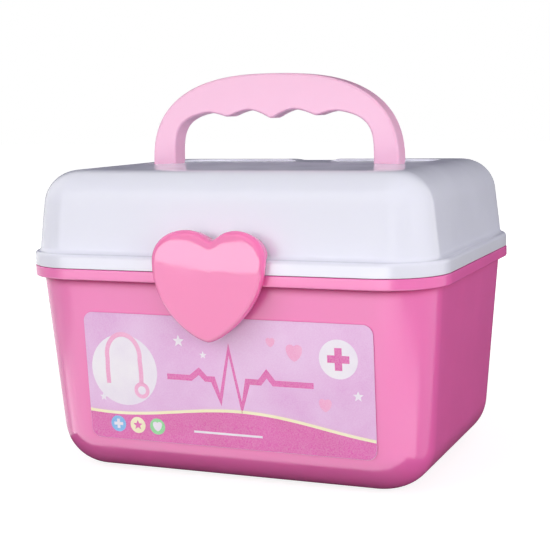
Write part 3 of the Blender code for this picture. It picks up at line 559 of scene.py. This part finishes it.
def lid_parts():
    y, z = HANDLE_AXIS
    lug = arc((y, z), HANDLE_LUG, 0, 180, 32)
    lug += [(y - HANDLE_LUG, WELL_FLOOR - 1), (y + HANDLE_LUG, WELL_FLOOR - 1)]
    low = LID_BASE + 0.6
    knuckle = barrel(cut_angle(low), 450, BAND[1] - 1.0, low, HINGE_AXIS[1] + KNUCKLE_RADIUS)
    front_lug = latch_lug(LATCH_LUG, BAND_TOP, LATCH_AXIS[1] - LATCH_LUG)
    return [
        ("UNION", joined([slab("lug", lug, x, 3.85, 0.4) for x in HANDLE_LEGS])),
        ("DIFFERENCE", rod(HANDLE_AXIS, PEG_BORE, 0, 76)),
        ("UNION", joined([slab("knuckle", knuckle, x, 7, 0.35) for x in HINGES])),
        ("DIFFERENCE", rod(HINGE_AXIS, HINGE_BORE, 0, 90)),
        ("UNION", joined([slab("lug", front_lug, LATCH_X + x, 2, 0.25) for x in LATCH_LUGS])),
        ("DIFFERENCE", rod(LATCH_AXIS, LATCH_BORE, LATCH_X, 20)),
    ]


shown("domed_lid", carved(lid_shell(), lid_parts()), WHITE, "lid", "lid_white", "lid")


# Handle
def superellipse(theta, half, height, power):
    c = abs(math.cos(theta)) / half
    s = abs(math.sin(theta)) / height
    reach = (c ** power + s ** power) ** (-1 / power)
    return reach * math.cos(theta), reach * math.sin(theta)


def curve_height(curve, x):
    half, height, power = curve
    return height * (1 - (abs(x) / half) ** power) ** (1 / power)


def opening_curve():
    """The finger side of the handle as closely spaced points, from its right foot to its left."""
    blunt = 0.1
    middle_cusp, side_cusp = 4.8, 3.4
    right = []
    for step in range(2400):
        x, z = superellipse(math.pi / 2 * step / 2400, *GRIP_INNER)
        cusp = round(x / FINGER_PITCH)
        if abs(cusp) <= 1:
            away = min(1.0, abs(x - cusp * FINGER_PITCH) / (FINGER_PITCH / 2))
            away = (math.hypot(away, blunt) - blunt) / (math.hypot(1, blunt) - blunt)
            z -= (middle_cusp if cusp == 0 else side_cusp) * (1 - away) ** 1.7
        right.append((x, z))
    top = (0.0, GRIP_INNER[1] - middle_cusp)
    return right + [top] + [(-x, z) for x, z in reversed(right)]


def at_angles(curve, angles):
    """Where rays from the middle of the base meet the curve, also a little past both feet."""
    points = np.array(curve)
    turn = np.unwrap(np.arctan2(points[:, 1], points[:, 0]))
    first, last = slice(1, 200), slice(-200, -1)
    points = np.vstack([points[first][::-1] * (1, -1), points, points[last][::-1] * (1, -1)])
    turn = np.concatenate([-turn[first][::-1], turn, 2 * math.pi - turn[last][::-1]])
    order = np.argsort(turn)
    turn, points = turn[order], points[order]
    return np.column_stack([np.interp(angles, turn, points[:, i]) for i in (0, 1)])


def normals_of(curve, angles):
    """Unit normals pointing away from the middle of the base."""
    step = 0.004
    ahead = at_angles(curve, angles + step) - at_angles(curve, angles - step)
    side = np.column_stack([ahead[:, 1], -ahead[:, 0]])
    return side / np.linalg.norm(side, axis=1)[:, None]


def handle_angles():
    """Even steps round the handle, with finer ones at the cusps between the fingers."""
    plain = [math.radians(a) for a in np.arange(0, 180.1, 1.5)]
    fine = []
    cusp_height = 27.9
    for x in (-FINGER_PITCH, 0.0, FINGER_PITCH):
        middle = math.atan2(cusp_height, x)
        fine += [middle + math.radians(a) for a in np.arange(-4.5, 4.6, 0.5)]
    angles = np.array(sorted({round(a, 5) for a in plain + fine}))
    keep = [0]
    for index in range(1, len(angles)):
        if angles[index] - angles[keep[-1]] > math.radians(0.3):
            keep.append(index)
    return angles[keep]


def handle_section():
    """The cored section as (curve, offset from it, y), from the front over the top and back below."""
    front, back = -9.6, 4.0
    plate = front + 2.4
    section = [("outer", -cut, front + rise) for cut, rise in quarter(1.6, range(90, -1, -18))]
    section += [("outer", 0.0, -3.0), ("outer", 0.0, 1.0)]
    section += [("outer", -cut, back - rise) for cut, rise in quarter(0.6, range(0, 91, 30))]
    section += [("outer", -2.1, back), ("outer", -2.31, back - 0.09), ("outer", -2.4, back - 0.3)]
    section += [("outer", -2.4, -3.0), ("outer", -2.4, plate + 0.8)]
    section += [("outer", -2.63, plate + 0.23), ("outer", -3.2, plate)]
    section += [("core", 3.2, plate), ("core", 2.63, plate + 0.23), ("core", 2.4, plate + 0.8)]
    section += [("core", 2.4, -3.0), ("core", 2.4, back - 0.3), ("core", 2.31, back - 0.09)]
    section += [("core", 2.1, back)]
    section += [("inner", cut, back - rise) for cut, rise in quarter(0.6, range(90, -1, -30))]
    section += [("inner", 0.0, 1.0), ("inner", 0.0, -3.0)]
    section += [("inner", cut, front + rise) for cut, rise in quarter(1.3, range(0, 91, 18))]
    return section


def handle_mesh():
    angles = handle_angles()
    dense = np.linspace(0, math.pi, 3600)
    curves = {
        "outer": [superellipse(a, *GRIP_OUTER) for a in dense],
        "inner": opening_curve(),
        "core": [superellipse(a, *GRIP_INNER) for a in dense],
    }
    lines = {key: (at_angles(curve, angles), normals_of(curve, angles)) for key, curve in curves.items()}
    made = []
    for key, offset, y in handle_section():
        place, normal = lines[key]
        made.append([(x, y, HANDLE_BASE + z) for x, z in place + normal * offset])
    return loft("handle_loft", [[line[index] for line in made] for index in range(len(angles))])


def handle_parts():
    ribs = []
    half, front, back = 0.8, -8.4, 2.8
    for x in (-36, -18, 0, 18, 36):
        top = HANDLE_BASE + curve_height(GRIP_OUTER, x) - 1.2
        low = HANDLE_BASE + curve_height(GRIP_INNER, x) + 1.2
        outline = [(x - half, low), (x + half, low), (x + half, top), (x - half, top)]
        ribs.append(prism("rib", outline, front, back, frontal, 0.25))
    root, tip = 6.15, 2.35
    profile = [(0, 1.55), (0.35, 1.95), (0.8, 2.1)]
    pegs = [
        turned("peg", (leg + side * (root + tip) / 2, *HANDLE_AXIS), (root - tip) / 2, profile)
        for leg in HANDLE_LEGS
        for side in (-1, 1)
    ]
    y, z = HANDLE_AXIS
    heel = arc((y, z), 5.0, -90, 0, 24) + [(8.0, z), (8.0, HANDLE_BASE - 4), (y, HANDLE_BASE - 4)]
    return [
        ("UNION", joined(ribs)),
        ("UNION", joined(pegs)),
        ("DIFFERENCE", slab("heel", heel, 0, 80)),
    ]


shown("carry_handle", carved(handle_mesh(), handle_parts()), PALE, "handle", "handle_pale_pink", "handle")


# Heart latch: the curves of its right half, in shares of the half width and of the height
HEART_CURVES = (
    ((0.0, 0.912), (0.11, 0.912), (0.16, 0.995), (0.44, 0.995)),
    ((0.44, 0.995), (0.72, 0.995), (1.0, 0.9), (1.0, 0.735)),
    ((1.0, 0.735), (1.0, 0.25), (0.17, 0.0), (0.0, 0.0)),
)


def heart_outline():
    right = []
    for curve, steps in zip(HEART_CURVES, (20, 16, 34)):
        for step in range(steps):
            t = step / steps
            weights = ((1 - t) ** 3, 3 * t * (1 - t) ** 2, 3 * t * t * (1 - t), t ** 3)
            right.append(tuple(sum(w * p[i] for w, p in zip(weights, curve)) for i in (0, 1)))
    return right + [(0.0, 0.0)] + [(-u, v) for u, v in reversed(right[1:])]


def heart_mesh():
    """A shallow cup with a rounded edge and a nearly flat face, its tip leaning to the left."""
    outline = heart_outline()

    def level(share, y):
        made = []
        for u, v in outline:
            z = HEART_HEIGHT * (v - 0.5)
            x = (HEART_RIGHT if u > 0 else HEART_LEFT) * u + z * HEART_LEAN
            made.append((LATCH_X + x * share, y, HEART_MIDDLE + z * share))
        return made

    half = (HEART_RIGHT + HEART_LEFT) / 2
    wall, floor, back = 1.8, -102.4, -93.5
    edge, edge_width, edge_depth, bulge = -101.1, 2.8, 3.5, 0.35
    inside = 1 - wall / half
    rows = [
        level(inside - 0.025, floor),
        level(inside - 0.007, floor + 0.2),
        level(inside, floor + 0.7),
        level(inside - 0.045, back - 0.15),
        level(inside - 0.04, back),
        level(0.948, back),
        level(0.955, back - 0.25),
    ]
    for turn in range(0, 91, 9):
        a = math.radians(turn)
        rows.append(level(1 - edge_width * (1 - math.cos(a)) / half, edge - edge_depth * math.sin(a)))
    face = 1 - edge_width / half
    for share in (0.98, 0.95, 0.9, 0.84, 0.77, 0.69, 0.6, 0.5, 0.4, 0.3, 0.2, 0.1):
        rows.append(level(face * share, edge - edge_depth - bulge * (1 - share ** 4)))
    return loft("heart_loft", rows)


def swung(points, centre, degrees):
    """Points turned about the centre."""
    turn = math.radians(degrees)
    y, z = centre
    return [
        (
            y + (u - y) * math.cos(turn) - (v - z) * math.sin(turn),
            z + (u - y) * math.sin(turn) + (v - z) * math.cos(turn),
        )
        for u, v in points
    ]


def heart_parts():
    y, z = LATCH_AXIS
    low, high = 77.2, 143.8
    behind, upper, face = -87.9, -96.8, -102.9
    room = [(behind, low), (-98.1, low)] + arc((y, z), 7.6, -77.07, 0, 24)
    room += [(upper, z + 3.8), (upper, high), (behind, high)]
    # Where the lid's lugs come to lie when the heart is swung right up, with a little room round them
    lug = swung(latch_lug(LATCH_LUG + 0.35, BAND_TOP - 0.4, z - 1.8), LATCH_AXIS, LATCH_SWING)
    lug_rooms = [slab("lug_room", lug, LATCH_X + x, 2.35) for x in LATCH_LUGS]
    cheek = arc((y, z), LATCH_LUG, 90, -90, 32) + [(face, z - LATCH_LUG), (face, z + LATCH_LUG)]
    cheeks = [slab("cheek", cheek, LATCH_X + x, 1.3, 0.25) for x in LATCH_CHEEKS]
    bead = [(face, 106.95), (-98.5, 109.95), (-98.5, 111.15), (face, 112.95)]
    return [
        ("DIFFERENCE", slab("room", room, LATCH_X, 60)),
        ("DIFFERENCE", joined(lug_rooms)),
        ("UNION", joined(cheeks)),
        ("DIFFERENCE", rod(LATCH_AXIS, LATCH_BORE, LATCH_X, 20)),
        ("UNION", slab("bead", bead, LATCH_X, 9, 0.3)),
    ]


shown("heart_clasp", carved(heart_mesh(), heart_parts()), HEART, "latch", "latch_pink", "heart_latch")

# Pins: turned ends with a small groove behind the rounded tip
hinge_shape = [(0, 0.9), (0.12, 1.25), (0.4, 1.48), (0.9, 1.5)]
hinge_shape += [(1.5, 1.5), (1.7, 1.38), (2.0, 1.38), (2.2, 1.5)]
for name, x, node in zip(("pin_left", "pin_right"), HINGES, ("hinge_pin_left", "hinge_pin_right")):
    pin = turned(name, (x, *HINGE_AXIS), 14.4, hinge_shape)
    shown(name, pin, STEEL, "case_bin", "pin_steel", node)
latch_shape = [(0, 0.6), (0.1, 0.82), (0.35, 0.98), (0.7, 1.0)]
latch_shape += [(1.2, 1.0), (1.35, 0.9), (1.6, 0.9), (1.75, 1.0)]
latch_rod = turned("latch_rod", (LATCH_X, *LATCH_AXIS), 16.5, latch_shape)
shown("latch_rod", latch_rod, STEEL, "latch", "pin_steel", "latch_pin")


# Label
SLOPE = math.atan2(WALL_LEAN, WALL_RISE)
LABEL_Z = LABEL_FOOT + LABEL_HALF[1] * math.cos(SLOPE)
WALL_Y = -(FOOT_TOP_HALF + WALL_LEAN * (LABEL_Z - FOOT_TOP) / WALL_RISE)


def on_label(u, v, w):
    """A place on the label: u right, v up, w out of its printed face, in millimetres."""
    y = WALL_Y - (LABEL_LIFT + w) / math.cos(SLOPE) - v * math.sin(SLOPE)
    return (LABEL_X + u, y, LABEL_Z + v * math.cos(SLOPE))


def sheet_outline(inset=0.0):
    return outline_of(LABEL_HALF[0] - inset, LABEL_HALF[1] - inset, LABEL_CORNER - inset)


def ink(name, outlines, layer, material):
    """Flat printed areas, each layer a hair above the one below."""
    solids = [prism(name, outline, -0.1, 0.012 * layer, on_label) for outline in outlines]
    shown(name, joined(solids), material, "case_bin", "label_print")


def heart(u, v, size):
    return [(u + a * size / 2, v + (b - 0.5) * size) for a, b in reversed(heart_outline()[::2])]


def plus(u, v, size, arm):
    h, a = size / 2, arm / 2
    corners = ((h, -a), (h, a), (a, a), (a, h), (-a, h), (-a, a), (-h, a), (-h, -a))
    return [(u + x, v + y) for x, y in corners + ((-a, -a), (-a, -h), (a, -h), (a, -a))]


def star(u, v, size):
    made = []
    for k in range(10):
        reach = size / 2 if k % 2 == 0 else size / 4.6
        a = math.pi / 2 + math.pi * k / 5
        made.append((u + reach * math.cos(a), v + reach * math.sin(a)))
    return made


def ribbon(points, width):
    """A line of even width through the points."""
    points = np.array(points, float)
    ahead = np.diff(points, axis=0)
    ahead /= np.linalg.norm(ahead, axis=1)[:, None]
    side = np.column_stack([-ahead[:, 1], ahead[:, 0]])
    bend = np.vstack([side[:1], side[:-1] + side[1:], side[-1:]])
    bend /= np.linalg.norm(bend, axis=1)[:, None]
    near = np.vstack([side[:1], side])
    stretch = 1 / np.maximum(0.45, (bend * near).sum(axis=1))
    left = points + bend * (width / 2 * stretch)[:, None]
    right = points - bend * (width / 2 * stretch)[:, None]
    return [tuple(p) for p in right] + [tuple(p) for p in left[::-1]]


def wave(u, lift):
    """Top edge of the band along the label's foot."""
    middle, swell, length, fall = -19.0, 4.2, 27.0, 0.035
    return middle + lift + swell * math.sin((u + 30) / length) - fall * (u + 20)


def band(low_lift, high_lift, inset):
    """A wavy strip; without a low edge it runs down to the label's foot."""
    along = np.linspace(inset - LABEL_HALF[0], LABEL_HALF[0] - inset, 90)
    top = [(u, wave(u, high_lift)) for u in along]
    if low_lift is None:
        low_part = -29.9
        foot = [(u, v) for u, v in sheet_outline(inset) if v < low_part]
        foot.sort()
        return foot + top[::-1]
    return [(u, wave(u, low_lift)) for u in along] + top[::-1]


FIELD = printed("print_field", (0.64, 0.29, 0.60), (0.72, 0.45, 0.71), 26.0)
MAGENTA = printed("print_magenta", (0.56, 0.01, 0.27), (0.62, 0.025, 0.33))
CREAM = printed("print_cream", (0.82, 0.76, 0.42), (0.84, 0.80, 0.55))
SNOW = printed("print_snow", (0.80, 0.76, 0.81), (0.74, 0.66, 0.78))
ROSE = printed("print_rose", (0.76, 0.26, 0.50), (0.80, 0.35, 0.58))
SKY = printed("print_sky", (0.08, 0.32, 0.68), (0.13, 0.42, 0.74))
LEAF = printed("print_leaf", (0.12, 0.50, 0.16), (0.20, 0.58, 0.22))

rows = []
for inset, w in ((0.12, -0.4), (0.0, -0.28), (0.0, -0.12), (0.04, -0.04), (0.12, 0.0)):
    rows.append([on_label(u, v, w) for u, v in sheet_outline(inset)])
shown("label_sheet", loft("label_sheet", rows), FIELD, "case_bin", "label_print", "front_label")

pulse = [
    (-34, 2), (-20, 2), (-15, 6), (-11, 2), (-7, 2), (-3, -9), (3, 19),
    (9, -13), (13, 2), (20, 2), (24, 7), (28, 2), (50, 2),
]
turns = np.linspace(math.pi * 1.05, -math.pi * 0.05, 28)
tube = [(-60 + 10 * math.cos(a), 12 + 12 * math.sin(a)) for a in turns]
tube = [(-70, -4), (-70.2, 3)] + tube + [(-49.8, 3), (-50, -3)]
ink("label_cloud", [disc(-60, 4, 20), disc(64, 17, 10.5)], 1, SNOW)
ink("label_band", [band(None, 0.0, 0.15)], 1, MAGENTA)
ink("label_edge", [band(0.0, 1.7, 0.15)], 2, CREAM)
ink("label_pulse", [ribbon(pulse, 3.2), plus(64, 17, 12, 4)], 2, MAGENTA)
ink("label_tube", [ribbon(tube, 2.6), disc(-50, -7, 4.6)], 2, ROSE)
ink("label_hearts", [heart(40, 19, 9), heart(27, 24, 5), heart(56, -8, 7)], 2, ROSE)
ink("label_stars", [star(-26, 22, 7), star(-12, 15, 4.5), star(74, -2, 6), star(-74, -12, 5)], 3, SNOW)
ink("label_disc_sky", [disc(-66, -27, 4.6)], 3, SKY)
ink("label_disc_leaf", [disc(-42, -27, 4.6)], 3, LEAF)
ink("label_disc_cream", [disc(-54, -27, 4.6)], 3, CREAM)
ink(
    "label_icons",
    [
        plus(-66, -27, 5.4, 1.7),
        heart(-42, -27, 5.4),
        disc(-50, -7, 2.4),
        ribbon([(-20, -28), (20, -28)], 1.2),
    ],
    4,
    SNOW,
)
ink("label_icon_dot", [star(-54, -27, 6)], 4, MAGENTA)


# Stage, lights and camera, their places and sizes in metres
def seen(tree):
    """1 for what the camera, mirrors and glass see, 0 for the light that falls on the case."""
    path = tree.nodes.new("ShaderNodeLightPath").outputs
    total = path["Is Camera Ray"]
    for key in ("Is Glossy Ray", "Is Transmission Ray"):
        total = combined(tree, "MAXIMUM", total, path[key])
    return total


def seen_white(name, grey, glow):
    """White where it is seen, a little less near the case, with a matt grey that takes its shadow."""
    material = bpy.data.materials.new(name)
    material.use_nodes = True
    tree = material.node_tree
    tree.nodes.clear()
    matt = tree.nodes.new("ShaderNodeBsdfDiffuse")
    matt.inputs["Color"].default_value = (grey, grey, grey, 1.0)
    shine = tree.nodes.new("ShaderNodeEmission")
    shine.inputs["Color"].default_value = (1.0, 1.0, 1.0, 1.0)
    away = tree.nodes.new("ShaderNodeVectorMath")
    away.operation = "LENGTH"
    tree.links.new(object_place(tree), away.inputs[0])
    level = combined(tree, "MULTIPLY", seen(tree), span(tree, away.outputs["Value"], glow, 1.0, 0.2, 0.45))
    tree.links.new(level, shine.inputs["Strength"])
    both = tree.nodes.new("ShaderNodeAddShader")
    tree.links.new(matt.outputs[0], both.inputs[0])
    tree.links.new(shine.outputs[0], both.inputs[1])
    out = tree.nodes.new("ShaderNodeOutputMaterial")
    tree.links.new(both.outputs[0], out.inputs["Surface"])
    return material


def panel(name, width, height):
    """A flat mesh about its own middle."""
    w, h = width / 2, height / 2
    mesh = bpy.data.meshes.new(name)
    mesh.from_pydata([(-w, -h, 0), (w, -h, 0), (w, h, 0), (-w, h, 0)], [], [(0, 1, 2, 3)])
    return mesh


floor_mesh = panel("floor", 12.0, 12.0)
floor_mesh.materials.append(seen_white("floor_white", 0.35, 0.82))
floor = bpy.data.objects.new("floor", floor_mesh)
floor.location.z = -0.0002
bpy.context.scene.collection.objects.link(floor)


def turned_to(item, facing, turn=0.0):
    """Point the item's front along facing, then turn it about that line by turn in degrees."""
    aim = Vector(facing).to_track_quat("-Z", "Y").to_matrix()
    item.rotation_euler = (aim @ Matrix.Rotation(math.radians(turn), 3, "Z")).to_euler()


def lamp(name, place, width, height, radiance):
    """A soft box aimed at the case and not seen in gloss; radiance is the brightness of its face."""
    light = bpy.data.lights.new(name, "AREA")
    light.shape = "RECTANGLE"
    light.size = width
    light.size_y = height
    light.energy = radiance * math.pi * width * height
    item = bpy.data.objects.new(name, light)
    item.location = place
    turned_to(item, Vector(MIDDLE) - Vector(place))
    item.visible_glossy = False
    bpy.context.scene.collection.objects.link(item)


def card(name, place, facing, width, height, tone, turn=0.0, colour=(1, 1, 1)):
    """A dark flag or a bright card that is seen only in the gloss of the plastic."""
    mesh = panel(name, width, height)
    material = bpy.data.materials.new(name)
    material.use_nodes = True
    tree = material.node_tree
    tree.nodes.clear()
    shine = tree.nodes.new("ShaderNodeEmission")
    shine.inputs["Strength"].default_value = tone
    shine.inputs["Color"].default_value = (*colour, 1.0)
    out = tree.nodes.new("ShaderNodeOutputMaterial")
    tree.links.new(shine.outputs[0], out.inputs["Surface"])
    mesh.materials.append(material)
    item = bpy.data.objects.new(name, mesh)
    item.location = place
    turned_to(item, facing, turn)
    bpy.context.scene.collection.objects.link(item)
    item.visible_camera = False
    item.visible_diffuse = False
    item.visible_shadow = False
    item.visible_transmission = False


MIDDLE = (0.0, 0.0, 0.12)
lamp("key", (-0.654, -1.046, 0.669), 1.1, 1.1, 2.45)
lamp("fill_front", (0.7, -1.13, 0.58), 1.0, 0.8, 2.35)
lamp("fill_right", (1.3, -0.2, 0.35), 1.2, 0.6, 4.0)
lamp("overhead", (0.0, -0.1, 1.6), 1.4, 1.2, 0.6)
lamp("fill_back", (-0.3, 1.4, 0.4), 1.4, 0.6, 2.7)
lamp("fill_left", (-1.4, 0.2, 0.4), 0.8, 0.7, 1.4)

world = bpy.data.worlds.new("world")
world.use_nodes = True
bpy.context.scene.world = world
tree = world.node_tree
background = tree.nodes["Background"]
background.inputs["Color"].default_value = (1.0, 1.0, 1.0, 1.0)
tree.links.new(span(tree, seen(tree), 0.15, 1.0, 0.0, 1.0), background.inputs["Strength"])

# Cards lie on the floor or stand round the case; SLANT is the way that two of the standing ones face
DOWN = (0, 0, -1)
SLANT = (-0.397, 0.917, 0)
card("flag_back", (-0.475, 1.3, 0.6), (0, -1, 0), 2.45, 1.8, 0.14, colour=(0.1, 0.1, 0.5))
card("flag_right", (0.465, 0.985, 0.0004), DOWN, 2.2, 1.0, 0.04, turn=45.0)
card("flag_under", (0.0, 0.0125, 0.0007), DOWN, 0.27, 0.205, 0.04)
card("bright_near", (0.005, -0.2875, 0.0005), DOWN, 0.59, 0.425, 3.25)
card("bright_beside", (-0.39, -0.2875, 0.0005), DOWN, 0.2, 0.425, 1.7)
card("bright_floor", (-0.13, -0.8275, 0.0005), DOWN, 0.86, 0.655, 3.4)
card("bright_far", (-0.4915, -0.83, 0.0009), DOWN, 1.6, 0.36, 3.2, turn=23.4)
card("bright_low", (-0.42, -0.995, 0.05), SLANT, 1.6, 0.1, 6.1)
card("bright_high", (-0.42, -0.995, 0.85), SLANT, 1.6, 1.5, 2.0)
card("bright_left", (-1.3, -0.1, 0.75), (1, 0, 0), 1.4, 1.5, 1.35)

# Camera, as worked out from the photograph
CAMERA_PLACE = (0.28302, -0.70096, 0.20163)
YAW, PITCH, ROLL = 0.3874, 0.129, -0.0185
camera_data = bpy.data.cameras.new("camera")
camera_data.sensor_width = 36.0
camera_data.lens = 84.924
camera_data.clip_start = 0.01
camera_data.clip_end = 50.0
camera = bpy.data.objects.new("camera", camera_data)
bpy.context.scene.collection.objects.link(camera)
ahead = Vector((-math.sin(YAW) * math.cos(PITCH), math.cos(YAW) * math.cos(PITCH), -math.sin(PITCH)))
right = Vector((math.cos(YAW), math.sin(YAW), 0.0))
up = right.cross(ahead)
turned_right = right * math.cos(ROLL) + up * math.sin(ROLL)
turned_up = up * math.cos(ROLL) - right * math.sin(ROLL)
matrix = Matrix((turned_right, turned_up, -ahead)).transposed().to_4x4()
matrix.translation = CAMERA_PLACE
camera.matrix_world = matrix
bpy.context.scene.camera = camera

bpy.context.scene.view_settings.view_transform = "Standard"
